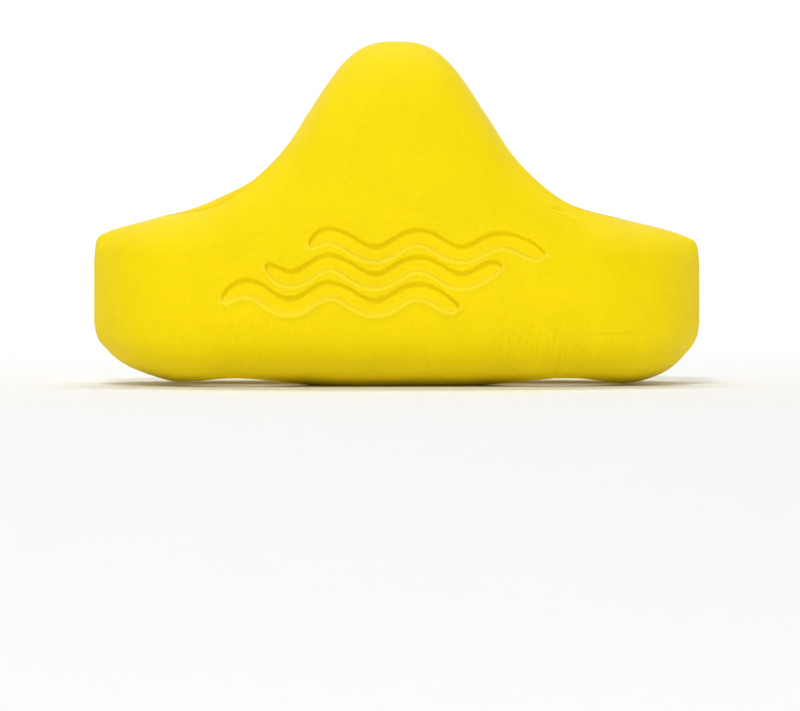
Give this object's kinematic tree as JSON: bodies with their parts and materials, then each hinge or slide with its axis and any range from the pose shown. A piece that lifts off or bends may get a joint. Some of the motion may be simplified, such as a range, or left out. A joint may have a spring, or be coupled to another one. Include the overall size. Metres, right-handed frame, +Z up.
{
  "type": "pull buoy",
  "caption": "Swimmer's pull buoy: a humped closed-cell foam float with a split ankle opening at each end, opened by flexing the jaws.",
  "frame": {"origin": "middle of the flat underside, on the bonded seam", "axes": "+X along the length to the right-hand opening, +Y from the front face to the back face, +Z up to the hump"},
  "size_m": [0.2996, 0.1182, 0.17],
  "materials": {
    "foam_skin": "matte",
    "foam_liner": "matte"
  },
  "bodies": {
    "core": {"front_core": "foam_skin", "back_core": "foam_skin", "left_front_web_liner": "foam_liner", "left_back_web_liner": "foam_liner", "right_front_web_liner": "foam_liner", "right_back_web_liner": "foam_liner"},
    "left_front_arm": {"left_front_jaw": "foam_skin", "left_front_jaw_liner": "foam_liner"},
    "left_back_arm": {"left_back_jaw": "foam_skin", "left_back_jaw_liner": "foam_liner"},
    "right_front_arm": {"right_front_jaw": "foam_skin", "right_front_jaw_liner": "foam_liner"},
    "right_back_arm": {"right_back_jaw": "foam_skin", "right_back_jaw_liner": "foam_liner"}
  },
  "joints": [
    {"name": "left_front_flex", "type": "hinge", "parent": "core", "child": "left_front_arm", "pos_m": [-0.07, -0.059, 0.043], "axis": [0, 0, 1], "range_deg": [0, 30], "stiffness_Nm_per_rad": 4},
    {"name": "left_back_flex", "type": "hinge", "parent": "core", "child": "left_back_arm", "pos_m": [-0.07, 0.059, 0.043], "axis": [0, 0, -1], "range_deg": [0, 30], "stiffness_Nm_per_rad": 4},
    {"name": "right_front_flex", "type": "hinge", "parent": "core", "child": "right_front_arm", "pos_m": [0.07, -0.059, 0.043], "axis": [0, 0, -1], "range_deg": [0, 30], "stiffness_Nm_per_rad": 4},
    {"name": "right_back_flex", "type": "hinge", "parent": "core", "child": "right_back_arm", "pos_m": [0.07, 0.059, 0.043], "axis": [0, 0, 1], "range_deg": [0, 30], "stiffness_Nm_per_rad": 4}
  ],
  "couplings": [
    {"joint": "left_back_flex", "follows": "left_front_flex", "ratio": 1},
    {"joint": "right_back_flex", "follows": "right_front_flex", "ratio": 1}
  ]
}
